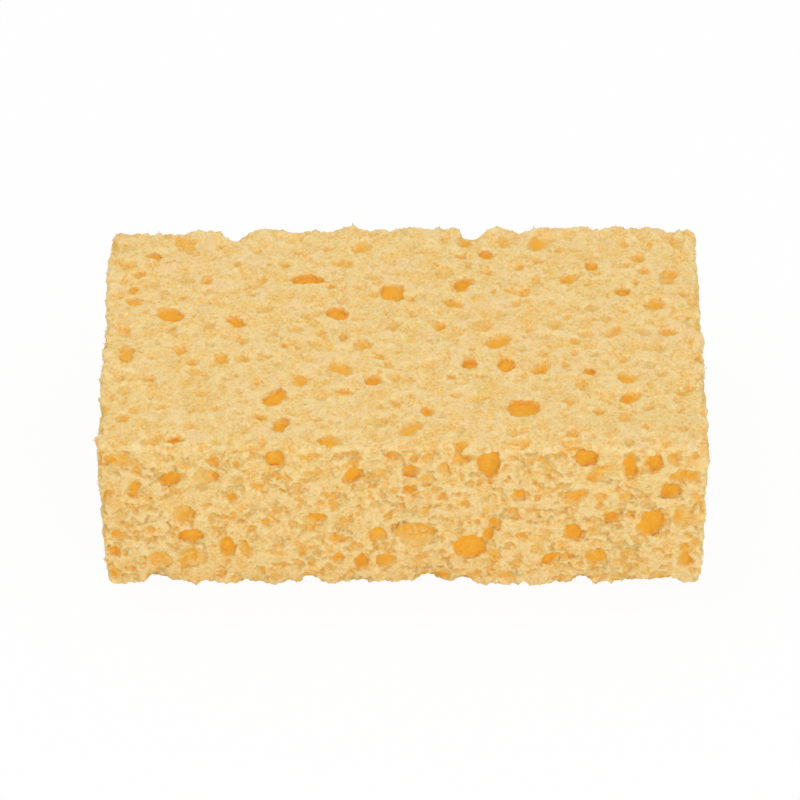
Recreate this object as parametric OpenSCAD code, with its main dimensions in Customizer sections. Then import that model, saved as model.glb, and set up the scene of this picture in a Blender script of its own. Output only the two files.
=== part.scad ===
// Cellulose cleaning sponge: one block of open-cell foam, cut square, lying on a broad face.
// Millimetres. +X runs along the length, +Y to the back and +Z up.
// The origin is in the middle of the base.

/* [Block] */
// Length of the block along X, at its widest
length = 120; // [80:1:180]
// Depth of the block along Y
depth = 70; // [50:1:110]
// Thickness of the block along Z
thickness = 35; // [20:1:60]
// Radius that wear gives every cut edge
edge_radius = 1.2; // [0.4:0.1:3]
// How far each end leans in between the top and the base
end_lean = 0.9; // [0:0.1:3]

/* [Cells] */
// Spacing of the scattered cells on the base
broad_pitch = 11; // [9:0.5:16]
// Spacing of the scattered cells on the back and the two ends
narrow_pitch = 9; // [7:0.5:14]
// Half width of the smallest scattered cell
cell_min = 0.9; // [0.5:0.1:1.5]
// Half width of the largest scattered cell
cell_max = 2.9; // [1.8:0.1:4]
// Depth of a deep cell, as a share of its half width
deep_share = 1.3; // [0.8:0.1:2]
// Depth of a shallow cell, as a share of its half width
shallow_share = 0.6; // [0.4:0.1:1]
// How far a cell's corners stray from a smooth egg, as a share of its size
cell_stray = 0.16; // [0:0.02:0.3]
// Largest half width that is still drawn with few corners
coarse_limit = 2.3; // [2.2:0.1:4]

/* [Bitten edges] */
// Spacing of the bites along an edge that has none placed by hand
bite_pitch = 17; // [10:1:40]
// Half width of the largest scattered bite
bite_max = 1.9; // [1:0.1:3]

/* [Pattern] */
// Seed of every scattered cell
seed = 11; // [1:1:99]

/* [Hidden] */

// The large cells of the top and the front, each as its place across and up the face
// in percent, its half width, its half height and its turn in degrees.
top_deep = [
    [11, 61, 3.0, 2.3, -10], [34, 78, 3.6, 2.0, 0], [48, 72, 2.5, 2.8, 0], [60, 76, 2.5, 1.5, 50],
    [67, 38, 2.0, 2.6, 0], [70, 18, 3.6, 3.0, -15], [61, 39, 1.8, 1.9, 0], [81, 35, 1.6, 1.8, 0],
    [87, 23, 1.9, 1.9, 0], [29, 24, 3.0, 1.9, 50], [22, 58, 2.5, 1.5, -45], [39, 62, 2.4, 2.2, 0],
    [87, 72, 1.9, 2.0, 0], [82, 84, 1.8, 1.6, 0], [54, 17, 1.5, 1.7, 0], [45, 31, 1.9, 2.0, 0],
    [13, 4, 1.9, 1.6, 0], [64, 90, 1.6, 1.6, 0], [8, 89, 1.9, 1.5, 0], [30, 11, 2.5, 1.5, 60],
];
top_shallow = [
    [13, 94, 3.0, 2.0, -50], [4, 43, 1.7, 2.9, 0], [13, 45, 1.7, 1.7, 0], [27, 64, 1.8, 1.6, 0],
    [33, 31, 1.9, 2.0, 0], [43, 93, 2.4, 1.4, 0], [43, 47, 1.6, 2.4, -15], [40, 36, 3.0, 1.7, -30],
    [57, 81, 2.3, 2.3, 0], [66, 49, 3.0, 1.9, 50], [63, 56, 2.5, 2.2, 0], [51, 9, 2.8, 1.5, 50],
    [46, 12, 2.3, 2.2, 0], [73, 95, 2.9, 1.7, 35], [78, 78, 2.6, 1.5, 25], [90, 88, 1.9, 1.8, 0],
    [95, 80, 2.1, 2.3, 0], [92, 66, 2.0, 2.1, 0], [85, 53, 2.2, 1.4, 40], [94, 53, 2.0, 1.2, 0],
    [73, 37, 2.7, 1.5, 50], [87, 32, 2.3, 2.1, 0], [4, 26, 1.8, 1.6, 0], [38, 4, 2.6, 1.9, 0],
    [14, 77, 1.3, 1.2, 0], [23, 41, 1.5, 1.3, 0], [15, 35, 1.4, 1.2, 0], [32, 54, 1.9, 1.1, 0],
    [45, 79, 1.5, 1.3, 0], [40, 26, 1.9, 1.1, 0], [49, 21, 1.5, 1.3, 0], [82, 64, 1.5, 1.3, 0],
    [74, 51, 1.3, 1.1, 0], [80, 52, 1.4, 1.2, 0], [27, 14, 1.3, 1.2, 0], [6, 18, 1.3, 1.2, 0],
];
front_deep = [
    [6, 70, 1.2, 1.9, -10], [12, 77, 2.4, 1.8, 20], [15, 36, 2.8, 1.8, 0], [21, 28, 1.9, 2.7, 0],
    [22, 64, 1.6, 1.4, 0], [29, 91, 2.1, 2.3, 0], [42, 80, 2.4, 1.5, 40], [51, 83, 1.7, 1.8, 0],
    [61, 28, 3.4, 3.2, 0], [64, 36, 1.2, 2.0, -10], [65, 45, 1.2, 1.9, 15], [64, 88, 2.4, 3.1, 0],
    [69, 65, 1.5, 1.7, 0], [80, 92, 2.7, 2.1, 0], [87, 84, 1.6, 2.7, 15], [91, 88, 1.9, 2.3, 0],
    [94, 68, 2.3, 1.7, 20], [91, 45, 2.6, 3.3, -20], [78, 38, 1.8, 2.4, 15], [43, 17, 1.6, 1.9, 0],
    [84, 50, 1.4, 1.7, 0], [74, 18, 2.1, 1.3, 45], [51, 69, 1.6, 1.3, 20], [36, 49, 2.2, 1.4, 0],
];
front_shallow = [
    [4, 90, 3.5, 1.7, 0], [18, 79, 2.6, 1.9, 0], [23, 88, 1.2, 1.9, 0], [23, 76, 1.9, 1.3, 0],
    [34, 93, 1.8, 1.7, 0], [35, 80, 1.6, 1.8, 0], [14, 51, 2.9, 2.5, 40], [3, 37, 1.3, 2.3, 0],
    [24, 27, 1.3, 2.8, 20], [10, 18, 2.6, 2.4, 0], [15, 20, 3.3, 2.8, 0], [39, 34, 2.2, 1.2, -25],
    [42, 28, 1.6, 1.4, 0], [46, 37, 2.1, 2.2, 0], [52, 37, 4.3, 3.4, 0], [65, 22, 1.8, 1.6, 0],
    [47, 17, 2.2, 2.2, 0], [46, 81, 1.2, 2.1, 10], [54, 76, 1.3, 2.0, -20], [54, 92, 1.1, 1.9, 0],
    [59, 92, 1.7, 1.6, 0], [82, 81, 3.2, 1.9, 40], [94, 91, 1.4, 2.2, 10], [96, 49, 2.1, 3.0, 0],
    [86, 64, 1.5, 1.7, 0], [82, 20, 2.4, 2.2, 0], [82, 64, 1.5, 1.3, 0], [26, 72, 1.6, 1.2, -20],
    [78, 54, 1.1, 1.0, 0], [88, 22, 1.6, 1.2, 0], [8, 40, 1.4, 1.2, 0], [61, 75, 1.3, 1.2, 0],
    [81, 40, 1.3, 1.2, 0], [13, 69, 1.7, 0.9, 0], [47, 27, 1.1, 1.0, 0], [43, 53, 1.4, 1.0, 0],
    [25, 42, 1.1, 1.0, 0], [28, 58, 1.3, 0.9, 0], [29, 95, 1.4, 1.0, 0], [72, 93, 1.3, 1.0, 0],
];
// Bites placed by hand, each as its place along the edge in percent and its half width.
front_foot_bites = [
    [9, 2.4], [17, 1.4], [24, 1.3], [35, 2.2], [43, 1.7], [54, 2.9],
    [60, 2.1], [80, 2.5], [89, 1.6], [94, 2.6],
];
back_rim_bites = [[21, 2.3], [48, 1.5], [62, 2.4], [70, 1.5], [96, 1.3]];

// A cell's middle lies this share of its depth below the face, so that its mouth is narrower
cell_sink = 0.3;
// The scatter stays this far inside a face's border
border = 3;
// Angle by which the lean turns each end face
lean_turn = atan(end_lean / thickness);

// Rings and spokes of corners that a cell of the given half sizes is drawn with
function cell_rings(half) = max(half.x, half.y) > coarse_limit ? 3 : 2;
function cell_spokes(half) = max(half.x, half.y) > coarse_limit ? 7 : 5;

// Corners of a cell: rings of corners that stray from an egg of the given half sizes, then its poles
function cell_corners(half, rings, spokes, n) =
    let (stray = rands(1 - cell_stray, 1 + cell_stray, rings * spokes + 2, n))
    [
        for (i = [0 : rings - 1], k = [0 : spokes - 1])
            let (
                up = 90 - 180 * (i + 1) / (rings + 1),
                turn = 360 * (k + i / 2) / spokes,
                s = stray[i * spokes + k]
            )
            [half.x * s * cos(up) * cos(turn), half.y * s * cos(up) * sin(turn), half.z * s * sin(up)],
        [0, 0, half.z * stray[rings * spokes]],
        [0, 0, -half.z * stray[rings * spokes + 1]]
    ];

// Triangles of a cell: a fan round each pole, and two to each gap between neighbouring spokes
function cell_faces(rings, spokes) =
    [
        for (k = [0 : spokes - 1])
            let (next = (k + 1) % spokes, last = (rings - 1) * spokes)
            each [
                [rings * spokes, next, k],
                [rings * spokes + 1, last + k, last + next],
                for (i = [0 : rings - 2])
                    each [
                        [i * spokes + k, i * spokes + next, (i + 1) * spokes + k],
                        [i * spokes + next, (i + 1) * spokes + next, (i + 1) * spokes + k]
                    ]
            ]
    ];

// A closed lump of the given half sizes, centred on the origin
module lump(half, n) {
    rings = cell_rings(half);
    spokes = cell_spokes(half);
    polyhedron(cell_corners(half, rings, spokes, n), cell_faces(rings, spokes));
}

// One cell, with its mouth on the plane z = 0 and its body below
module cell(half, n) {
    translate([0, 0, -cell_sink * half.z])
        lump(half, n);
}

// Cells placed by hand on a face of the given size, centred on the origin and facing +Z
module placed_cells(cells, size, share, n) {
    for (i = [0 : len(cells) - 1]) {
        c = cells[i];
        translate([(c[0] / 100 - 0.5) * size.x, (c[1] / 100 - 0.5) * size.y, 0])
            rotate(c[4])
                cell([c[2], c[3], share * (c[2] + c[3]) / 2], n + i);
    }
}

// Cells scattered over a face, one to each square of a grid
module scattered_cells(size, pitch, n) {
    columns = max(1, round((size.x - 2 * border) / pitch));
    rows = max(1, round((size.y - 2 * border) / pitch));
    step = [(size.x - 2 * border) / columns, (size.y - 2 * border) / rows];
    for (i = [0 : columns - 1], k = [0 : rows - 1]) {
        r = rands(0, 1, 6, n + i * rows + k);
        half = cell_min + (cell_max - cell_min) * pow(r[0], 1.5);
        free = max(0, 1 - 2 * half / pitch);
        share = shallow_share + (deep_share - shallow_share) * r[3];
        translate([
            (i + 0.5 + free * (r[1] - 0.5)) * step.x + border - size.x / 2,
            (k + 0.5 + free * (r[2] - 0.5)) * step.y + border - size.y / 2
        ])
            rotate(360 * r[4])
                cell([half, half * (0.65 + 0.35 * r[5]), half * share], n + i * rows + k);
    }
}

// Bites along an edge on the X axis, each as its place in percent and its half width
module bites(list, span, n) {
    for (i = [0 : len(list) - 1]) {
        half = list[i][1];
        translate([(list[i][0] / 100 - 0.5) * span, 0, 0])
            lump([half, half * 1.1, half], n + i);
    }
}

// Bites scattered along an edge on the X axis
module scattered_bites(span, n) {
    count = max(1, round(span / bite_pitch));
    r = rands(0, 1, 2 * count, n);
    bites(
        [for (i = [0 : count - 1]) [(i + 0.2 + 0.6 * r[2 * i]) * 100 / count, bite_max * (0.5 + 0.5 * r[2 * i + 1])]],
        span, n
    );
}

// Puts its children on the top, the base, the front, the back, the left end or the right end,
// with their own +Z pointing out of the block
module on_top() { translate([0, 0, thickness]) children(); }
module on_base() { rotate([180, 0, 0]) children(); }
module on_front() { translate([0, -depth / 2, thickness / 2]) rotate([90, 0, 0]) children(); }
module on_back() { translate([0, depth / 2, thickness / 2]) rotate([90, 0, 180]) children(); }
module on_end(side) {
    translate([side * (length - end_lean) / 2, 0, thickness / 2])
        rotate([90 + lean_turn, 0, side * 90])
            children();
}

// Corners of the plain block: nine to each of its eight worn corners, and the ends lean in
block_corners = [
    for (sx = [-1, 1], sy = [-1, 1], sz = [0, 1], turn = [0, 45, 90], rise = [0, 45, 90])
        [
            sx * (length / 2 - end_lean * (1 - sz) - edge_radius * (1 - cos(rise) * cos(turn))),
            sy * (depth / 2 - edge_radius * (1 - cos(rise) * sin(turn))),
            sz * thickness + (1 - 2 * sz) * edge_radius * (1 - sin(rise))
        ]
];

// The plain block, before its cells are opened
module block() {
    hull()
        polyhedron(block_corners, [[for (i = [0 : len(block_corners) - 1]) i]]);
}

module cells() {
    broad = [length, depth];
    side = [length, thickness];
    end = [depth, thickness];
    on_top() {
        placed_cells(top_deep, broad, deep_share, seed + 100);
        placed_cells(top_shallow, broad, shallow_share, seed + 200);
    }
    on_front() {
        placed_cells(front_deep, side, deep_share, seed + 500);
        placed_cells(front_shallow, side, shallow_share, seed + 600);
    }
    on_base() scattered_cells(broad, broad_pitch, seed + 900);
    on_back() scattered_cells(side, narrow_pitch, seed + 1100);
    for (hand = [-1, 1])
        on_end(hand) scattered_cells(end, narrow_pitch, seed + 1300 + 100 * hand);
}

module bitten_edges() {
    translate([0, -depth / 2, 0]) bites(front_foot_bites, length, seed + 1500);
    translate([0, depth / 2, thickness]) bites(back_rim_bites, length, seed + 1520);
    translate([0, depth / 2, 0]) scattered_bites(length, seed + 1540);
    for (hand = [-1, 1], level = [0, thickness])
        translate([hand * (length / 2 - (level == 0 ? end_lean : 0)), 0, level])
            rotate(90) scattered_bites(depth, seed + 1560 + level + 5 * hand);
}

module sponge() {
    color([0.93, 0.78, 0.50])
        difference() {
            block();
            cells();
            bitten_edges();
        }
}

sponge();
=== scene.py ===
import math
import random
import time

import bmesh
import bpy
import numpy as np
from mathutils import Euler, Matrix, Vector, noise
from mathutils.kdtree import KDTree


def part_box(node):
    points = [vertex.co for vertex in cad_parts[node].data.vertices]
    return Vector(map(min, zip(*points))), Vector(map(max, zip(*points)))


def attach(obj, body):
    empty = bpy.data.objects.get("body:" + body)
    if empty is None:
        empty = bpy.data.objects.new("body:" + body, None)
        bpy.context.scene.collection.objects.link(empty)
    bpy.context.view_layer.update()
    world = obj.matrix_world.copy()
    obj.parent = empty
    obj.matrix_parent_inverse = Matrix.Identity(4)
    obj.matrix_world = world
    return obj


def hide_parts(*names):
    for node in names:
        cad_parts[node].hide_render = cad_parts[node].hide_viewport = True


mm = 0.001  # the frame is in metres, and the sizes below are in millimetres
started = time.time()


def report(stage):
    print(f"{stage}, {time.time() - started:.0f} s")


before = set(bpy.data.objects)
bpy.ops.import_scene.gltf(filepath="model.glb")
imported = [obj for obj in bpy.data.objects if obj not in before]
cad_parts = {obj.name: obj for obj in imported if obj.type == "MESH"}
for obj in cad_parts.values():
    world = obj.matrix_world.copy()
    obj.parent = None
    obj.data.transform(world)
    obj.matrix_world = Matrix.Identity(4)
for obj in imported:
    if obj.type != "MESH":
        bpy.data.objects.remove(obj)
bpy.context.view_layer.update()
scene = bpy.context.scene
scene.view_settings.view_transform = "Standard"

low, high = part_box("sponge")
block = {"length": (high.x - low.x) / mm, "depth": (high.y - low.y) / mm, "height": (high.z - low.z) / mm}
report("Frame loaded")

# Camera

view = {
    "elevation": 38.7,  # degrees above the horizon
    "distance": 1045,  # from the middle of the block
    "aside": -0.6,  # the frame's middle lies this far beside the block's middle
    "above": 1.25,  # and this far above it
    "lens": 232.65,
}


def placeCamera():
    tilt = math.radians(view["elevation"])
    back = Vector((0, -math.cos(tilt), math.sin(tilt)))
    up = Vector((0, math.sin(tilt), math.cos(tilt)))
    middle = Vector((0, 0, block["height"] / 2))
    spot = middle + back * view["distance"] + Vector((view["aside"], 0, 0)) + up * view["above"]
    camera = bpy.data.objects.new("camera", bpy.data.cameras.new("camera"))
    camera.location = spot * mm
    camera.rotation_euler = (math.pi / 2 - tilt, 0, 0)
    camera.data.lens = view["lens"]
    camera.data.sensor_width = 36
    camera.data.clip_start = 0.01
    camera.data.clip_end = 20
    scene.collection.objects.link(camera)
    scene.camera = camera


placeCamera()

# Cells listed one by one: across from the left end, up from the near or lower edge, half width, half height

topCells = {
    "deep": [
        (12.5, 43.5, 2.4, 1.8), (14.2, 42.2, 1.9, 1.5), (39, 54.5, 2.2, 1.7), (42.5, 54.5, 1.9, 1.6), (58, 51, 2.3, 2.1),
        (58.5, 48.8, 1.7, 1.6), (34.9, 16.9, 2.1, 1.6), (34, 15.2, 1.8, 1.4), (83.7, 13.4, 3.3, 2.2), (82.5, 11.2, 2.1, 1.5),
        (80.5, 26.7, 2.0, 2.2), (9, 62.5, 1.6, 1.4), (36, 8.3, 1.9, 1.6), (30.3, 64, 1.1, 1.0), (36, 59.5, 1.4, 1.2),
        (97, 24.5, 1.5, 1.3), (69.7, 46.7, 1.5, 1.3), (109, 57.3, 1.3, 1.1), (46.3, 44, 1.9, 1.5),
    ],
    "plain": [
        (17, 54, 1.2, 1.1), (25.7, 41.4, 1.4, 1.2), (27.1, 39.6, 1.4, 1.2), (32, 44.5, 1.6, 1.4), (38.5, 38, 1.9, 1.0),
        (28, 34.5, 1.3, 1.2), (5, 31.5, 1.8, 1.5), (5, 28.7, 1.2, 1.5), (15.5, 31.5, 1.6, 1.4), (11, 33.5, 1.1, 1.0),
        (24.3, 36, 1.0, 1.0), (18.5, 24.5, 1.4, 1.1), (28, 28.5, 1.5, 1.3), (5, 18.5, 1.6, 1.4), (7.3, 12.5, 1.3, 1.2),
        (35.3, 6.2, 1.4, 1.2), (16, 3, 1.8, 1.4), (18, 7, 1.3, 1.1), (12.5, 10.5, 1.2, 1.1), (29, 6, 1.3, 1.1),
        (39.5, 22, 1.8, 1.5), (32, 10, 1.3, 1.2), (50.5, 64.5, 1.6, 1.3), (52.2, 65, 1.6, 1.2), (58.5, 60, 1.1, 1.0),
        (53.5, 55.5, 1.5, 1.3), (61.5, 48, 1.5, 1.2), (63.5, 53.5, 1.2, 1.0), (73.3, 53.8, 1.8, 1.5), (71.8, 51.8, 1.5, 1.4),
        (71.3, 46, 1.4, 1.3), (77.3, 62.8, 1.7, 1.3), (77, 57, 1.2, 1.1), (47.6, 42.4, 1.5, 1.3), (51, 46, 1.0, 0.9),
        (42, 33.5, 1.2, 1.1), (52, 33, 1.9, 1.6), (55.5, 29, 1.2, 1.1), (46.5, 26, 1.8, 1.5), (48.5, 24.5, 1.6, 1.3),
        (53.8, 22, 1.9, 1.6), (47.8, 18.2, 1.9, 1.1), (58.5, 14.7, 1.5, 1.3), (62, 7.5, 2.0, 1.6), (60.5, 5.4, 1.7, 1.4),
        (65, 12, 1.6, 1.4), (67.8, 11.2, 1.1, 1.0), (46.3, 2.5, 2.4, 1.8), (73.3, 27, 1.8, 1.6), (73, 23.6, 0.8, 0.8),
        (78, 34, 2.1, 1.7), (80, 35.8, 1.7, 1.4), (88, 66, 2.0, 1.5), (89.7, 67.2, 1.5, 1.2), (94.5, 67.7, 1.3, 1.0),
        (98, 58.8, 1.7, 1.4), (93, 54.5, 1.6, 1.4), (95.5, 55.8, 1.4, 1.2), (107.5, 62, 1.8, 1.5), (114, 56.2, 2.0, 1.5),
        (113.5, 54.2, 1.5, 1.4), (104.3, 50.5, 2.0, 1.7), (111, 46.5, 2.1, 1.8), (98, 45, 1.5, 1.3), (93, 42, 1.2, 1.1),
        (88.5, 35.5, 1.3, 1.1), (84.3, 35.5, 0.9, 0.8), (96.5, 36.5, 1.4, 1.2), (101.5, 36.5, 1.7, 1.3), (102.8, 38.3, 1.2, 1.1),
        (108, 37.3, 1.8, 1.1), (113.5, 37, 1.8, 1.1), (87, 25, 1.7, 1.4), (88.5, 26.8, 1.3, 1.2), (104, 22.5, 2.1, 1.7),
        (105.3, 16.5, 1.9, 1.6), (111.3, 24, 1.4, 1.2), (90.7, 17.5, 1.1, 1.0), (115, 6.5, 1.2, 1.1), (71, 1.5, 2.0, 1.3),
    ],
    "shallow": [
        (4, 65, 2.0, 1.7), (15, 67, 2.2, 1.6), (17.2, 64.3, 2.0, 1.6), (10.5, 56, 1.1, 1.0), (21, 22.5, 1.6, 1.3),
        (31, 20.5, 1.6, 1.3), (23, 12.5, 1.6, 1.3), (41.5, 28.5, 1.8, 1.4), (68.5, 57, 2.2, 1.9), (54.5, 8.5, 2.2, 1.8),
        (66, 27, 1.8, 1.5), (75.5, 39, 2.4, 1.9), (75, 15.5, 2.1, 1.6), (61.5, 22, 1.3, 1.2), (77, 6.5, 1.6, 1.3),
        (88, 8, 1.6, 1.3), (101.5, 6, 1.3, 1.2), (55.5, 61.3, 0.9, 0.8),
    ],
}

frontCells = {
    "deep": [
        (7.8, 24.8, 1.4, 1.3), (7, 23.2, 0.9, 1.1), (14.5, 26.8, 2.0, 1.7), (16.2, 27.6, 1.4, 1.2), (17.5, 12.5, 2.1, 1.7),
        (19.1, 12.9, 1.7, 1.4), (25.2, 8.9, 1.6, 1.7), (25.2, 11.3, 1.1, 1.2), (73, 10, 3.1, 2.9), (71.6, 8.6, 1.8, 1.7),
        (76.6, 12.8, 1.0, 1.7), (78.3, 15.5, 1.2, 1.4), (50.8, 28.8, 1.6, 1.2), (49.3, 27.2, 1.3, 1.1), (77.2, 31.4, 2.2, 2.3),
        (76.5, 29, 1.7, 1.7), (82.5, 22.8, 1.4, 1.4), (95.8, 32.2, 2.6, 1.9), (104.3, 30.8, 1.4, 2.1), (105, 28.6, 1.2, 1.4),
        (109, 31, 1.9, 2.0), (112.5, 24, 2.2, 1.5), (109.2, 16.5, 2.3, 2.4), (107.6, 14.2, 1.9, 1.9), (89, 6, 1.7, 1.4),
        (90.3, 7.2, 1.4, 1.2), (93.4, 13.5, 1.9, 2.1), (51.7, 6.2, 1.6, 1.3), (42, 17, 1.9, 1.2), (35, 31.8, 2.0, 2.0),
        (61.7, 29, 1.5, 1.4), (101, 17.5, 1.6, 1.5),
    ],
    "plain": [
        (18, 30.8, 1.7, 1.0), (12, 33.3, 1.2, 0.9), (13.3, 32.3, 0.9, 0.9), (27.8, 31, 1.0, 1.6), (27.5, 27, 1.9, 1.2),
        (26.5, 22.3, 1.4, 1.2), (32, 25.2, 1.4, 1.2), (35.5, 33.3, 1.4, 1.1), (35.7, 27, 1.2, 1.1), (36.5, 24.2, 0.8, 0.8),
        (41.5, 32.8, 1.7, 1.2), (42.3, 28, 1.5, 1.2), (15, 24, 1.6, 0.8), (10, 14, 1.4, 1.3), (3.2, 13, 1.2, 1.9),
        (28.5, 10.5, 1.2, 1.4), (29.5, 8.3, 1.1, 1.3), (6.3, 4, 1.1, 1.0), (22.3, 10, 1.1, 1.0), (30, 14.8, 1.1, 1.0),
        (33.5, 20.8, 0.8, 0.8), (28.5, 19.7, 0.9, 0.8), (43.8, 17, 1.5, 1.2), (41, 14.7, 1.2, 1.0), (47.5, 11.8, 1.9, 1.1),
        (51, 9.8, 1.4, 1.1), (55, 13, 2.1, 1.8), (56.5, 9.5, 1.1, 1.0), (78, 7.8, 1.7, 1.5), (52.1, 4.2, 1.4, 1.1),
        (57, 6, 2.1, 1.7), (51, 24, 1.0, 0.9), (56, 28.5, 1.0, 1.5), (64.3, 27, 1.4, 1.2), (61, 24.3, 1.4, 1.2),
        (64.8, 32.2, 1.1, 1.6), (71.3, 31.8, 1.6, 1.4), (73.3, 26.2, 1.2, 1.1), (52.3, 18.8, 0.9, 0.8), (55.5, 18.7, 0.9, 0.8),
        (50, 18.3, 0.8, 0.8), (47.3, 21.3, 0.8, 0.7), (57, 16.7, 0.7, 0.7), (112.7, 31.7, 1.3, 1.9), (117.3, 32.6, 1.3, 1.1),
        (93.5, 18.8, 1.1, 1.0), (97.5, 14, 1.3, 1.2), (82, 17.5, 0.8, 1.1), (98.5, 7, 2.2, 1.9), (105.5, 8.3, 1.2, 1.0),
        (107.5, 6.3, 1.2, 1.1), (104.3, 3.8, 1.0, 1.0), (82.8, 7.3, 1.1, 1.0), (98.8, 22.5, 1.5, 1.3), (104, 22.5, 1.6, 1.4),
    ],
    "shallow": [
        (4.8, 31.3, 3.4, 1.8), (21.5, 27.5, 2.3, 1.8), (16.5, 18, 2.6, 2.2), (12, 6.5, 2.6, 2.3), (18, 7.5, 3.0, 2.6),
        (62.5, 13, 4.1, 3.4), (61.8, 32.1, 1.1, 1.0), (72, 22.5, 1.7, 1.4), (100.3, 29.3, 2.6, 2.0), (98, 27.1, 2.1, 1.7),
        (82.3, 32.6, 1.2, 1.0), (87.5, 32, 1.2, 1.0), (117, 22.5, 1.7, 1.7), (115.6, 17, 2.2, 3.0), (88, 24, 1.9, 1.6),
    ],
}

# Bites out of two edges: place along the edge from the left end, half width
nearFootBites = [
    (11.5, 2.4), (20.5, 1.6), (28.8, 1.4), (41.8, 2.2), (52, 1.6), (65.5, 2.9),
    (72.5, 2.3), (84, 1.3), (95.8, 2.6), (107.2, 1.8), (113, 2.6), (111, 2.0),
]
farRimBites = [(25.3, 3.2), (57.5, 1.7), (74.5, 3.0), (83.5, 1.9), (115, 1.8)]

# How deep each kind of cell goes, and how far its middle lies below the face, as shares of its half width
kinds = {
    "deep": {"depth": (1.0, 1.3), "sink": 0.10, "rough": 0.36},
    "plain": {"depth": (0.9, 1.2), "sink": -0.12, "rough": 0.42},
    "shallow": {"depth": (0.5, 0.65), "sink": -0.25, "rough": 0.46},
    "bite": {"depth": (0.9, 1.1), "sink": 0, "rough": 0.36},
}

scatter = {
    "seed": 4,
    "border": 0.8,  # kept clear of the block's edges
    "side": 3.3,  # spacing of the cells on a cut side
    "broad": 3.4,  # spacing of the cells on the top and the base
    "half": (0.6, 1.8),
    "broadHalf": (0.7, 1.6),
    "deepOnes": 0.16,
    "shallowOnes": 0.3,
    "clearance": 0.25,  # between a scattered cell and a listed one
}

# Each face: its lower left corner seen from outside, and the ways across, up and out
half = (block["length"] / 2, block["depth"] / 2)
faces = {
    "top": ((-half[0], -half[1], block["height"]), (1, 0, 0), (0, 1, 0), (0, 0, 1)),
    "base": ((-half[0], half[1], 0), (1, 0, 0), (0, -1, 0), (0, 0, -1)),
    "front": ((-half[0], -half[1], 0), (1, 0, 0), (0, 0, 1), (0, -1, 0)),
    "back": ((half[0], half[1], 0), (-1, 0, 0), (0, 0, 1), (0, 1, 0)),
    "left": ((-half[0], half[1], 0), (0, -1, 0), (0, 0, 1), (-1, 0, 0)),
    "right": ((half[0], -half[1], 0), (0, 1, 0), (0, 0, 1), (1, 0, 0)),
}


def faceSize(name):
    across, up = faces[name][1], faces[name][2]
    span = (block["length"], block["depth"], block["height"])
    return [sum(abs(a) * s for a, s in zip(way, span)) for way in (across, up)]


def addLump(bm, face, spot, size, sink, turn, rough, chance, finer=1):
    corner, across, up, out = (Vector(part) for part in faces[face])
    lump = bmesh.ops.create_icosphere(bm, subdivisions=1 + finer, radius=1)["verts"]
    shift = Vector([chance.uniform(-90, 90) for axis in range(3)])
    for vert in lump:
        vert.co *= 1 + rough * noise.noise(vert.co * 1.1 + shift) + rough * 0.8 * noise.noise(vert.co * 2.6 - shift)
    axes = Matrix((across, up, out)).transposed().to_4x4()
    place = corner + across * spot[0] + up * spot[1] - out * sink
    tip = Euler((chance.uniform(-0.25, 0.25), chance.uniform(-0.25, 0.25), turn)).to_matrix().to_4x4()
    stretch = Matrix.Diagonal((*size, 1))
    bmesh.ops.transform(bm, matrix=Matrix.Scale(mm, 4) @ Matrix.Translation(place) @ axes @ tip @ stretch, verts=lump)


def addCell(bm, face, kind, spot, width, height, turn, chance):
    nature = kinds[kind]
    flare = 1 / math.sqrt(1 - nature["sink"] ** 2)  # a lump set above the face meets it in a slimmer ring
    deep = chance.uniform(*nature["depth"]) * (width + height) / 2
    size = (width * flare, height * flare, deep)
    addLump(bm, face, spot, size, nature["sink"] * deep, turn, nature["rough"], chance)


def cellPlan():
    chance = random.Random(scatter["seed"])
    plan = []
    for face in faces:
        wide, tall = faceSize(face)
        taken = []
        for kind, cells in {"top": topCells, "front": frontCells}.get(face, {}).items():
            for across, up, width, height in cells:
                plan.append((face, kind, (across, up), width, height, chance.uniform(-0.2, 0.2)))
                taken.append((across, up, max(width, height)))
        broad = face in ("top", "base")
        pitch = scatter["broad"] if broad else scatter["side"]
        least, most = scatter["broadHalf"] if broad else scatter["half"]
        columns, rows = round(wide / pitch), round(tall / pitch)
        for column in range(columns):
            for row in range(rows):
                size = least + (most - least) * chance.random() ** 1.8
                spot = [(column + chance.random()) * wide / columns, (row + chance.random()) * tall / rows]
                spot = [min(max(s, scatter["border"] + size), e - scatter["border"] - size) for s, e in zip(spot, (wide, tall))]
                roll, turn, slim = chance.random(), chance.uniform(0, math.pi), chance.uniform(0.65, 1)
                kind = "deep" if roll < scatter["deepOnes"] else "shallow" if roll > 1 - scatter["shallowOnes"] else "plain"
                if all(math.dist(spot, t[:2]) > size + t[2] + scatter["clearance"] for t in taken):
                    plan.append((face, kind, spot, size, size * slim, turn))
    plan += [("front", "bite", (along, 0), size, size * 0.8, 0) for along, size in nearFootBites]
    rim = block["height"]
    plan += [("back", "bite", (block["length"] - along, rim), size, size * 0.8, 0) for along, size in farRimBites]
    return plan


def cellCutters():
    chance = random.Random(scatter["seed"] + 1)
    plan = cellPlan()
    cutters = bmesh.new()
    batch = bpy.data.meshes.new("cellBatch")
    for first in range(0, len(plan), 30):  # small batches, because each operator call walks the whole bmesh
        bm = bmesh.new()
        for cell in plan[first:first + 30]:
            addCell(bm, *cell, chance)
        bm.to_mesh(batch)
        bm.free()
        cutters.from_mesh(batch)
    mesh = bpy.data.meshes.new("cellCutters")
    cutters.to_mesh(mesh)
    cutters.free()
    bpy.data.meshes.remove(batch)
    report(f"{len(plan)} cells shaped")
    return bpy.data.objects.new("cellCutters", mesh)


def finished(thing, name):
    modified = thing.evaluated_get(bpy.context.evaluated_depsgraph_get())
    mesh = bpy.data.meshes.new_from_object(modified)
    thing.modifiers.clear()
    thing.data = mesh
    mesh.name = name
    return thing


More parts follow.
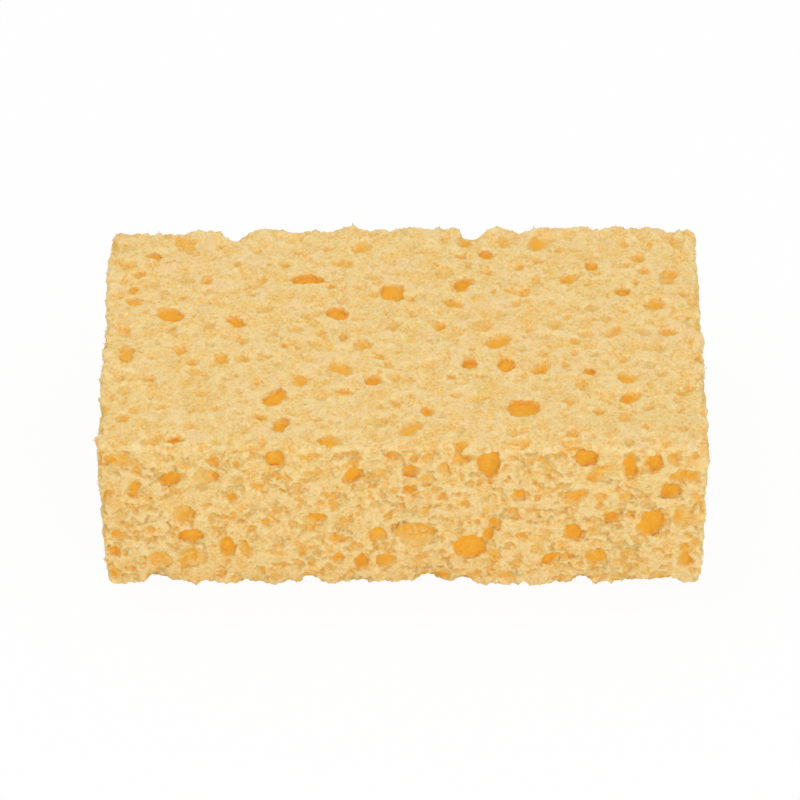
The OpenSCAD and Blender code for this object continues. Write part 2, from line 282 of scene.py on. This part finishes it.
def remesh(thing, voxel):
    step = thing.modifiers.new("remesh", "REMESH")
    step.mode = "VOXEL"
    step.voxel_size = voxel * mm
    step.adaptivity = 0


foam = {
    "voxel": 0.36,  # spacing of the skin while it is worked
    "cutterVoxel": 0.36,
    "triangles": 196000,  # the skin is thinned to this
    "openDepth": 0.3,  # cells keep their depth down to here
    "floorDepth": 1.4,  # and get at most this much deeper, as light fills them
    "shallowFloor": 0.5,  # the same for the shallow cells
    "softSides": 4,  # rounds of smoothing after the cells are cut
    "softTop": 4,
    "shiver": 0.35,  # how far cell rims wander sideways
    "cellSpacing": 2.0,  # of the small cells between the large ones
    "webWidth": 0.30,  # of the walls between them, as a share of the spacing
    "cellDepth": 0.36,
    "deepCells": 0.36,  # share of the small cells that go deeper
    "deepCellDepth": 0.8,
    "flatten": 1.3,  # the small cells are this much wider than tall
    "topShare": 0.22,  # strength of the small cells on the top and the base
    "warp": 0.9,
    "ragged": 0.55,  # how far the edges wander
    "swell": 0.30,  # how far the faces wander
    "grain": 0.10,
    "shadeSpread": 9,  # rounds that spread the painted shade of a cell past its rim
    "seed": 9,
}


def foamBlock():
    sponge = bpy.data.objects.new("spongeFoam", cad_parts["sponge"].data.copy())
    scene.collection.objects.link(sponge)
    sponge.data.materials.clear()
    bm = bmesh.new()
    bm.from_mesh(sponge.data)
    bmesh.ops.remove_doubles(bm, verts=bm.verts, dist=0.000001)
    bm.to_mesh(sponge.data)
    bm.free()
    cutters = cellCutters()
    scene.collection.objects.link(cutters)
    remesh(cutters, foam["cutterVoxel"])
    finished(cutters, "cellCutters")
    report(f"Cutters merged, {len(cutters.data.polygons)} faces")
    step = sponge.modifiers.new("cells", "BOOLEAN")
    step.operation = "DIFFERENCE"
    step.solver = "MANIFOLD"
    step.object = cutters
    finished(sponge, "spongeFoam")
    report(f"Cells cut, {len(sponge.data.polygons)} faces")
    remesh(sponge, foam["voxel"])
    finished(sponge, "spongeFoam")
    bpy.data.objects.remove(cutters)
    report(f"Skin remeshed, {len(sponge.data.polygons)} faces")
    return sponge


def readPoints(mesh, what="co"):
    values = np.empty(len(mesh.vertices) * 3, np.float32)
    if what == "co":
        mesh.vertices.foreach_get("co", values)
    else:
        mesh.vertex_normals.foreach_get("vector", values)
    return values.reshape(-1, 3).astype(np.float64)


def writePoints(mesh, points):
    mesh.vertices.foreach_set("co", (points * mm).astype(np.float32).ravel())
    mesh.update()


def blurred(mesh, values, rounds):
    # Each point takes the mean of itself and its neighbours
    edges = np.empty(len(mesh.edges) * 2, np.int32)
    mesh.edges.foreach_get("vertices", edges)
    near, far = edges.reshape(-1, 2).T
    count = len(values)
    share = 1 / (1 + np.bincount(edges, minlength=count))
    columns = values.reshape(count, -1).T.copy()
    for turn in range(rounds):
        for column in columns:
            column += np.bincount(near, column[far], count) + np.bincount(far, column[near], count)
            column *= share
    return columns.T.reshape(values.shape)


def faceGaps(points):
    # How far each point lies below each of the block's six faces
    lean = (points[:, 2] / block["height"] - 1) * 0.9
    x, y, z = points.T
    return np.stack([half[0] + lean - x, half[0] + lean + x, half[1] - y, half[1] + y, block["height"] - z, z])


def belowFaces(points):
    gaps = np.sort(faceGaps(points), axis=0)
    return gaps[0], gaps[1]


def wander(points):
    return np.array([noise.noise(Vector(point) * 0.11) for point in points])


def floorLimit(points):
    # How much deeper than openDepth a cell may go at each point
    most = np.full(len(points), foam["floorDepth"])
    for cells, across, up in ((topCells, 0, 1), (frontCells, 0, 2)):
        outside = block["height"] - points[:, 2] if up == 1 else points[:, 1] + half[1]
        foot = half[1] if up == 1 else 0
        for middle, level, width, height in cells["shallow"]:
            away = ((points[:, across] + half[0] - middle) / width) ** 2 + ((points[:, up] + foot - level) / height) ** 2
            most[(away < 1.7) & (outside < 5)] = foam["shallowFloor"]
    return most


def fillCells(points):
    # Lifts the floors of the deep cells towards the nearest face
    gaps = faceGaps(points)
    nearest, further = np.sort(gaps, axis=0)[:2]
    inner = np.clip((further - 1) / 2, 0, 1)  # the bites out of the edges stay
    start, most = foam["openDepth"], floorLimit(points)
    for side, (axis, way) in enumerate(((0, 1), (0, -1), (1, 1), (1, -1), (2, 1), (2, -1))):
        below = np.clip(gaps[side] - start, 0, 12)
        share = np.clip(1 - (gaps[side] - nearest) / 1.5, 0, 1) * inner
        points[:, axis] += way * share * (below - most * (1 - np.exp(-below / most)))


def fineCells(points):
    # Jittered cell middles throughout the skin: the two nearest to each warped point
    chance = random.Random(foam["seed"])
    spacing, flatten, warp = foam["cellSpacing"], foam["flatten"], foam["warp"]
    reach = Vector((half[0] + 3, half[1] + 3, (block["height"] + 6) * flatten))
    middles, luck = [], []
    for i in range(math.ceil(2 * reach.x / spacing)):
        for j in range(math.ceil(2 * reach.y / spacing)):
            for k in range(math.ceil(reach.z / spacing)):
                jitter = [chance.random() * spacing for axis in range(3)]
                middles.append((i * spacing + jitter[0] - reach.x, j * spacing + jitter[1] - reach.y, k * spacing + jitter[2] - 3 * flatten))
                luck.append(chance.random())
    tree = KDTree(len(middles))
    for index, middle in enumerate(middles):
        tree.insert(middle, index)
    tree.balance()
    found = np.empty((len(points), 3))
    for index, point in enumerate(points):
        spot = Vector(point)
        spot += warp * noise.noise_vector(spot * 0.45) + 0.5 * warp * noise.noise_vector(spot * 1.3)
        spot.z *= flatten
        (_, cell, first), (_, _, further) = tree.find_n(spot, 2)
        found[index] = first, further, luck[cell]
    return found.T


def broadShare(points):
    # 1 on and below the top and the base, 0 on the cut sides
    gaps = faceGaps(points)
    return np.clip(1 - (gaps[4:].min(axis=0) - gaps.min(axis=0)) / 1.5, 0, 1)


def smallCells(points):
    # 0 on the webs of the small cells, rising to 1 on the floors of the deepest
    first, further, luck = fineCells(points)
    inside = np.clip((further - first) / (foam["webWidth"] * foam["cellSpacing"]), 0, 1)
    dent = np.where(luck > 1 - foam["deepCells"], foam["deepCellDepth"], foam["cellDepth"] * (0.2 + 0.8 * luck))
    return inside * inside * (3 - 2 * inside) * dent / foam["deepCellDepth"]


# How far the far side and its torn upper rim bulge out: place along them from the left end, and millimetres
farSideBulge = [(0, 0.4), (25, 0.8), (45, 1.9), (70, 2.1), (100, 1.9), (120, 1.0)]
farRimBulge = [
    (0, 1.3), (2, 1.2), (4, 0.3), (8, 0.35), (11, 1.3), (13, 1.1), (15, 0.65), (18, 0.9), (20.5, 1.6), (22.4, 2.3), (23.4, 0.8),
    (26, 0.4), (27.2, 1.6), (29, 2.3), (30.5, 2.4), (32, 1.9), (34, 1.5), (41, 1.5), (45, 1.9), (47.3, 2.9), (49, 3.4),
    (51, 2.3), (53, 1.6), (56, 2.3), (57.5, 3.4), (62, 3.5), (63.5, 2.6), (66, 2.4), (69.5, 2.7), (71.5, 2.4), (73, 1.8),
    (76.5, 1.8), (77.8, 2.5), (83.5, 2.3), (85.5, 1.5), (88, 2.6), (91, 2.5), (96, 3.3), (98.5, 2.6), (102, 2.9), (105, 3.8),
    (108, 3.9), (110.5, 2.8), (113, 1.7), (116, 2.2), (120, 0.9),
]


def bulge(points):
    x, y, z = points.T
    side, rim = (np.interp(x + half[0], *zip(*places)) for places in (farSideBulge, farRimBulge))
    share = np.clip((y - half[1] + 6) / 6, 0, 1)
    out = side * (0.3 + 0.7 * np.clip(z / block["height"], 0, 1)) + (rim - side) * np.exp((z - block["height"]) / 7)
    points[:, 1] += out * share * share * (3 - 2 * share)


def roughen(sponge):
    mesh = sponge.data
    points = readPoints(mesh) / mm
    fillCells(points)
    broad = broadShare(points)
    sides = blurred(mesh, points, foam["softSides"])
    points = sides + broad[:, None] * (blurred(mesh, sides, foam["softTop"] - foam["softSides"]) - sides)
    writePoints(mesh, points)
    normals = readPoints(mesh, "normal")
    depth, nextDepth = belowFaces(points)
    dent = foam["deepCellDepth"] * smallCells(points)
    report("Small cells found")
    dent = dent * (0.2 + 0.8 * np.exp(-depth / 0.8))  # weaker inside the large cells
    dent = dent * (1 - (1 - foam["topShare"]) * broad)
    edge = np.exp(-(nextDepth + 0.3 * depth) / 1.4)
    torn, grain, shiver = np.empty(len(points)), np.empty(len(points)), np.empty((len(points), 3))
    for index, point in enumerate(points):
        spot = Vector(point)
        torn[index] = 1.6 * noise.noise(spot * 0.24) + 0.9 * noise.noise(spot * 0.75) + 0.35 * noise.noise(spot * 1.9)
        grain[index] = noise.noise(spot * 1.6) + 0.7 * noise.noise(spot * 2.9)
        shiver[index] = noise.noise_vector(spot * 1.1)
    push = -dent + foam["swell"] * wander(points) + 1.6 * foam["ragged"] * edge * torn + foam["grain"] * grain
    points += normals * push[:, None] + foam["shiver"] * shiver
    bulge(points)
    writePoints(mesh, points)
    report("Skin roughened")


def thinSkin(sponge):
    step = sponge.modifiers.new("thin", "DECIMATE")
    step.ratio = foam["triangles"] / (2 * len(sponge.data.polygons))
    step.use_collapse_triangulate = True
    finished(sponge, "spongeFoam")
    report(f"Skin thinned, {len(sponge.data.polygons)} triangles")


def skinMarks(sponge):
    # What the finish reads: depth below the face, the same spread past the rims, and how proud a spot stands; from
    # these it paints shade in the cells and a highlight on proud spots
    mesh = sponge.data
    points = readPoints(mesh) / mm
    nearest, further = belowFaces(points)
    depth = nearest + foam["swell"] * wander(points)
    # painted shade: the depth blurred past the rims, so the cells' shade colour spreads onto the skin around them
    shadeSpread = blurred(mesh, depth, foam["shadeSpread"]) + 0.2 * np.exp(-further / 1.8)
    # how proud a spot stands, where the finish paints a highlight
    proud = ((points - blurred(mesh, points, 3)) * readPoints(mesh, "normal")).sum(axis=1)
    for name, values in (("poreDepth", depth), ("poreShadeSpread", shadeSpread), ("proud", proud), ("smallCell", smallCells(points))):
        mark = mesh.attributes.new(name, "FLOAT", "POINT")
        mark.data.foreach_set("value", values.astype(np.float32))
        print(name, np.percentile(values, [1, 10, 50, 90, 99]).round(2))


noise.seed_set(foam["seed"])  # without it noise_vector differs from run to run
sponge = foamBlock()
roughen(sponge)
thinSkin(sponge)
skinMarks(sponge)
sponge.data.shade_smooth()

# Loose fibres that stand out of the torn skin

fibres = {
    "count": 4000,
    "length": (0.35, 0.9),
    "thickness": (0.05, 0.09),  # radius at the root
    "seed": 3,
}


def looseFibres(sponge):
    chance = random.Random(fibres["seed"])
    points, normals = readPoints(sponge.data), readPoints(sponge.data, "normal")
    depth, nextDepth = belowFaces(points / mm)
    proud = np.empty(len(points), np.float32)
    sponge.data.attributes["proud"].data.foreach_get("value", proud)
    liking = np.clip(proud / 0.15, 0.02, 1) * np.exp(-np.clip(depth, 0, 9) / 1.2) * (0.35 + np.exp(-nextDepth / 0.8))
    roots = chance.choices(range(len(points)), weights=liking.tolist(), k=fibres["count"])
    mesh = bpy.data.meshes.new("looseFibres")
    batch = bpy.data.meshes.new("fibreBatch")
    whole = bmesh.new()
    for first in range(0, len(roots), 60):
        bm = bmesh.new()
        for root in roots[first:first + 60]:
            length = chance.uniform(*fibres["length"]) * chance.uniform(0.6, 1)
            thick = chance.uniform(*fibres["thickness"])
            way = Vector(normals[root]) * 0.7 + Vector([chance.uniform(-1, 1) for axis in range(3)])
            turn = way.to_track_quat("Z", "Y").to_matrix().to_4x4()
            place = Matrix.Translation(Vector(points[root]) + way.normalized() * (length / 2 - 0.12) * mm)
            bmesh.ops.create_cone(
                bm, cap_ends=True, cap_tris=True, segments=3, radius1=thick * mm, radius2=thick * 0.35 * mm, depth=length * mm,
                matrix=place @ turn,
            )
        bm.to_mesh(batch)
        bm.free()
        whole.from_mesh(batch)
    whole.to_mesh(mesh)
    whole.free()
    bpy.data.meshes.remove(batch)
    piece = bpy.data.objects.new("looseFibres", mesh)
    scene.collection.objects.link(piece)
    mesh.shade_smooth()
    report(f"{fibres['count']} fibres, {sum(len(face.vertices) - 2 for face in mesh.polygons)} triangles")
    return piece


hairs = looseFibres(sponge)


# Finish of the foam

tones = {
    "paleHighlightAndSpeck": (1.00, 0.77, 0.41),  # painted highlight on proud webs and ridges, also a pale speck tone; linear colour
    "pale": (0.95, 0.705, 0.32),
    "face": (0.92, 0.645, 0.225),
    # painted shade spread round the rims of the cells
    "shadeSpread": (0.93, 0.65, 0.185),
    "olive": (0.85, 0.62, 0.20),
    "rose": (0.96, 0.63, 0.31),
    # random blobs, and painted shade on the floors of the small cells
    "blob": (0.92, 0.56, 0.14),
    # painted shade in the middles of the fine cells, and also one of the random speck tones
    "pitShadeAndSpeck": (0.88, 0.46, 0.12),
    "speck": (0.86, 0.38, 0.10),
    # rim, cell, deep and dusk are painted shade in the large cells, more orange and saturated the deeper a cell goes
    "rim": (0.91, 0.58, 0.18),
    "cell": (0.94, 0.55, 0.12),
    "deep": (1.00, 0.48, 0.035),
    "dusk": (0.91, 0.43, 0.04),
    "drab": (0.84, 0.58, 0.20),  # a duller painted shade for some of the shallow cells
}

weave = {
    "stretch": 1.35,  # the fine cells are this much wider than tall
    "sway": 0.0011,  # metres the pattern is warped by
    "cells": 950,  # fine cells a metre
    "pores": 2800,  # and the finest
    "patches": 130,
}


def ramp(nodes, stops):
    node = nodes.new("ShaderNodeValToRGB")
    while len(node.color_ramp.elements) < len(stops):
        node.color_ramp.elements.new(0.5)
    for element, (place, colour) in zip(node.color_ramp.elements, stops):
        element.position = place
        element.color = (*colour, 1)
    return node


def foamTone():
    # Colour and relief of cut foam from its depth below the face, so that every piece of it matches; the colour holds
    # painted shade in the cells and painted highlights on the ridges
    group = bpy.data.node_groups.new("foamTone", "ShaderNodeTree")
    for name, kind, way in (
        ("Depth", "NodeSocketFloat", "INPUT"),
        ("ShadeSpread", "NodeSocketFloat", "INPUT"),
        ("Proud", "NodeSocketFloat", "INPUT"),
        ("Cell", "NodeSocketFloat", "INPUT"),
        ("Color", "NodeSocketColor", "OUTPUT"),
        ("Height", "NodeSocketFloat", "OUTPUT"),
    ):
        group.interface.new_socket(name, in_out=way, socket_type=kind)
    nodes, link = group.nodes, group.links.new
    start, end = nodes.new("NodeGroupInput"), nodes.new("NodeGroupOutput")
    place = nodes.new("ShaderNodeTexCoord")

    def feed(socket, value):
        if hasattr(value, "is_linked"):
            link(value, socket)
        else:
            socket.default_value = value

    def grain(scale, detail=2.0, rough=0.5, spot=None):
        node = nodes.new("ShaderNodeTexNoise")
        node.inputs["Scale"].default_value = scale
        node.inputs["Detail"].default_value = detail
        node.inputs["Roughness"].default_value = rough
        link(spot or place.outputs["Object"], node.inputs["Vector"])
        return node

    def cells(scale, feature, spot):
        node = nodes.new("ShaderNodeTexVoronoi")
        node.feature = feature
        node.inputs["Scale"].default_value = scale
        link(spot, node.inputs["Vector"])
        return node

    def mix(factor, first, second):
        node = nodes.new("ShaderNodeMix")
        node.data_type = "RGBA"
        for socket, value in ((node.inputs["Factor"], factor), (node.inputs[6], first), (node.inputs[7], second)):
            feed(socket, value)
        return node.outputs[2]

    def span(value, low, high, bottom=0.0, top=1.0):
        node = nodes.new("ShaderNodeMapRange")
        for name, number in (("From Min", low), ("From Max", high), ("To Min", bottom), ("To Max", top)):
            node.inputs[name].default_value = number
        link(value, node.inputs["Value"])
        return node.outputs["Result"]

    def sums(kind, first, second):
        node = nodes.new("ShaderNodeMath")
        node.operation = kind
        feed(node.inputs[0], first)
        feed(node.inputs[1], second)
        return node.outputs[0]

    # Warped and stretched place, so that the fine cells follow the foam's flow
    flow = grain(420, 3, 0.6)
    centred = nodes.new("ShaderNodeVectorMath")
    centred.operation = "SUBTRACT"
    link(flow.outputs["Color"], centred.inputs[0])
    centred.inputs[1].default_value = (0.5, 0.5, 0.5)
    swayed = nodes.new("ShaderNodeVectorMath")
    swayed.operation = "MULTIPLY_ADD"
    link(centred.outputs[0], swayed.inputs[0])
    swayed.inputs[1].default_value = (2 * weave["sway"],) * 3
    link(place.outputs["Object"], swayed.inputs[2])
    stretched = nodes.new("ShaderNodeVectorMath")
    stretched.operation = "MULTIPLY"
    link(swayed.outputs[0], stretched.inputs[0])
    stretched.inputs[1].default_value = (1, 1, weave["stretch"])
    spot = stretched.outputs[0]

    cellWebs = cells(weave["cells"], "DISTANCE_TO_EDGE", spot).outputs["Distance"]
    cellLuck = cells(weave["cells"], "F1", spot).outputs["Color"]
    poreWebs = cells(weave["pores"], "DISTANCE_TO_EDGE", spot).outputs["Distance"]
    poreLuck = cells(weave["pores"], "F1", spot).outputs["Color"]
    patches = grain(weave["patches"], 3, 0.55).outputs["Fac"]
    clouds = grain(380, 2, 0.5).outputs["Fac"]
    tints = grain(260, 2, 0.5).outputs["Fac"]
    grit = grain(1500, 4, 0.75).outputs["Fac"]

    depth = start.outputs["Depth"]
    shown = span(depth, 0.3, 1.1, 1, 0.12)  # the fine cells fade towards the floors of the large ones
    rich = sums("MULTIPLY", span(patches, 0.38, 0.60, 0.25, 1), shown)
    cellPits = sums("MULTIPLY", span(cellWebs, 0.05, 0.30), span(cellLuck, 0.40, 0.70))
    porePits = sums("MULTIPLY", span(poreWebs, 0.04, 0.30), span(poreLuck, 0.40, 0.70))

    ground = mix(span(clouds, 0.40, 0.60), (*tones["face"], 1), (*tones["pale"], 1))
    ground = mix(span(patches, 0.5, 0.70, 0, 0.7), ground, (*tones["olive"], 1))
    ground = mix(span(patches, 0.5, 0.32, 0, 0.7), ground, (*tones["rose"], 1))
    specks = ramp(nodes, [(0.25, tones["paleHighlightAndSpeck"]), (0.40, tones["face"]), (0.52, tones["olive"]), (0.66, tones["pitShadeAndSpeck"]), (0.80, tones["rose"])])
    link(poreLuck, specks.inputs["Fac"])
    ground = mix(sums("MULTIPLY", span(poreWebs, 0.03, 0.2, 0, 0.5), rich), ground, specks.outputs["Color"])
    # Painted shade spread past the rims of the cells
    ground = mix(span(start.outputs["ShadeSpread"], 0.15, 0.60, 0, 0.8), ground, (*tones["shadeSpread"], 1))
    # Painted shade on the floors of the small cells
    ground = mix(span(start.outputs["Cell"], 0.12, 0.8, 0, 0.5), ground, (*tones["blob"], 1))
    ground = mix(span(tints, 0.51, 0.59, 0, 0.9), ground, (*tones["blob"], 1))
    # Painted shade in the large cells: from their depth the colour runs from the rim tone to a deep saturated orange,
    # with duller and darker variants mixed in by noise
    wavering = sums("ADD", depth, sums("MULTIPLY", sums("SUBTRACT", grit, 0.5), 1.2))
    tone = ramp(nodes, [(0.1, tones["rim"]), (0.45, tones["cell"]), (0.75, tones["deep"])])
    link(span(wavering, 0.2, 1.6), tone.inputs["Fac"])
    cellShade = mix(span(tints, 0.42, 0.66, 0, 0.7), tone.outputs["Color"], (*tones["dusk"], 1))
    drab = sums("MULTIPLY", span(tints, 0.54, 0.38, 0, 0.9), span(wavering, 1.2, 0.55))
    cellShade = mix(drab, cellShade, (*tones["drab"], 1))
    colour = mix(span(wavering, 0.12, 0.38), ground, cellShade)
    # Painted shade in the middles of the fine cells
    colour = mix(sums("MULTIPLY", sums("MULTIPLY", cellPits, rich), 0.35), colour, (*tones["pitShadeAndSpeck"], 1))
    clusters = sums("MULTIPLY", span(grit, 0.60, 0.70), span(patches, 0.50, 0.66, 0.1, 0.8))
    colour = mix(sums("MULTIPLY", clusters, shown), colour, (*tones["speck"], 1))
    # Painted highlight along the edges of the fine cells
    colour = mix(sums("MULTIPLY", span(cellWebs, 0.0, 0.15, 0.6, 0), shown), colour, (*tones["paleHighlightAndSpeck"], 1))
    # Painted highlight on proud spots
    colour = mix(sums("MULTIPLY", span(start.outputs["Proud"], 0.05, 0.35, 0, 0.5), shown), colour, (*tones["paleHighlightAndSpeck"], 1))
    link(colour, end.inputs["Color"])
    relief = sums("SUBTRACT", sums("MULTIPLY", grit, 0.6), sums("MULTIPLY", cellPits, 0.8))
    link(sums("SUBTRACT", relief, sums("MULTIPLY", porePits, 0.4)), end.inputs["Height"])
    return group


def foamFinish(name, glow):
    material = bpy.data.materials.new(name)
    material.use_nodes = True
    nodes, link = material.node_tree.nodes, material.node_tree.links.new
    shader = nodes["Principled BSDF"]
    tone = nodes.new("ShaderNodeGroup")
    tone.node_tree = foamTone() if "foamTone" not in bpy.data.node_groups else bpy.data.node_groups["foamTone"]
    for mark, socket in (("poreDepth", "Depth"), ("poreShadeSpread", "ShadeSpread"), ("proud", "Proud"), ("smallCell", "Cell")):
        reader = nodes.new("ShaderNodeAttribute")
        reader.attribute_name = mark
        link(reader.outputs["Fac"], tone.inputs[socket])
    link(tone.outputs["Color"], shader.inputs["Base Color"])
    bump = nodes.new("ShaderNodeBump")
    bump.inputs["Strength"].default_value = 0.5
    bump.inputs["Distance"].default_value = 0.00035
    link(tone.outputs["Height"], bump.inputs["Height"])
    link(bump.outputs["Normal"], shader.inputs["Normal"])
    shader.inputs["Roughness"].default_value = 0.9
    shader.inputs["Specular IOR Level"].default_value = 0.2
    shader.inputs["Subsurface Weight"].default_value = glow
    shader.inputs["Subsurface Radius"].default_value = (0.8, 0.4, 0.12)
    shader.inputs["Subsurface Scale"].default_value = 0.0016
    return material


for piece, finish in ((sponge, foamFinish("celluloseFoam", 0.3)), (hairs, foamFinish("celluloseFibre", 0.0))):
    piece.data.materials.clear()
    piece.data.materials.append(finish)
    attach(piece, "root")
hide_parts("sponge")

# Floor, backdrop and light

studio = {
    "world": 0.72,
    "key": 1.43,
    "fill": 2.68,
    "floorGlow": 0.94,  # share of the floor that the camera sees as plain white
}


def seenRays(nodes, link):
    # 1 for what the camera sees, straight or by way of something shiny or clear
    rays = nodes.new("ShaderNodeLightPath")
    value = rays.outputs["Is Camera Ray"]
    for other in ("Is Glossy Ray", "Is Transmission Ray"):
        node = nodes.new("ShaderNodeMath")
        node.operation = "MAXIMUM"
        link(value, node.inputs[0])
        link(rays.outputs[other], node.inputs[1])
        value = node.outputs[0]
    return value


def whiteFloor():
    bm = bmesh.new()
    bmesh.ops.create_grid(bm, x_segments=1, y_segments=1, size=3)
    mesh = bpy.data.meshes.new("floor")
    bm.to_mesh(mesh)
    bm.free()
    floor = bpy.data.objects.new("floor", mesh)
    scene.collection.objects.link(floor)
    material = bpy.data.materials.new("whiteFloor")
    material.use_nodes = True
    nodes, link = material.node_tree.nodes, material.node_tree.links.new
    shader = nodes["Principled BSDF"]
    shader.inputs["Base Color"].default_value = (0.94, 0.94, 0.94, 1)
    shader.inputs["Roughness"].default_value = 1
    shader.inputs["Specular IOR Level"].default_value = 0
    glow = nodes.new("ShaderNodeEmission")
    seen = seenRays(nodes, link)
    share = nodes.new("ShaderNodeMath")
    share.operation = "MULTIPLY"
    share.inputs[1].default_value = studio["floorGlow"]
    link(seen, share.inputs[0])
    mixed = nodes.new("ShaderNodeMixShader")
    link(share.outputs[0], mixed.inputs["Fac"])
    link(shader.outputs[0], mixed.inputs[1])
    link(glow.outputs[0], mixed.inputs[2])
    link(mixed.outputs[0], nodes["Material Output"].inputs["Surface"])
    mesh.materials.append(material)


def studioWorld():
    world = bpy.data.worlds.new("studio")
    world.use_nodes = True
    nodes, link = world.node_tree.nodes, world.node_tree.links.new
    background = nodes["Background"]
    background.inputs["Color"].default_value = (1, 1, 1, 1)
    level = nodes.new("ShaderNodeMapRange")
    level.inputs["To Min"].default_value = studio["world"]
    level.inputs["To Max"].default_value = 1
    link(seenRays(nodes, link), level.inputs["Value"])
    link(level.outputs["Result"], background.inputs["Strength"])
    scene.world = world


def softLamp(name, spot, size, power):
    lamp = bpy.data.objects.new(name, bpy.data.lights.new(name, "AREA"))
    lamp.data.shape = "DISK"
    lamp.data.size = size
    lamp.data.energy = power
    lamp.location = spot
    lamp.rotation_euler = (Vector((0, 0, 0.02)) - Vector(spot)).to_track_quat("-Z", "Y").to_euler()
    scene.collection.objects.link(lamp)


whiteFloor()
studioWorld()
softLamp("keyLamp", (-0.25, 0.15, 0.9), 0.5, studio["key"])
softLamp("fillLamp", (0.3, -0.9, 0.5), 0.7, studio["fill"])

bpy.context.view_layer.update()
report("Scene made")
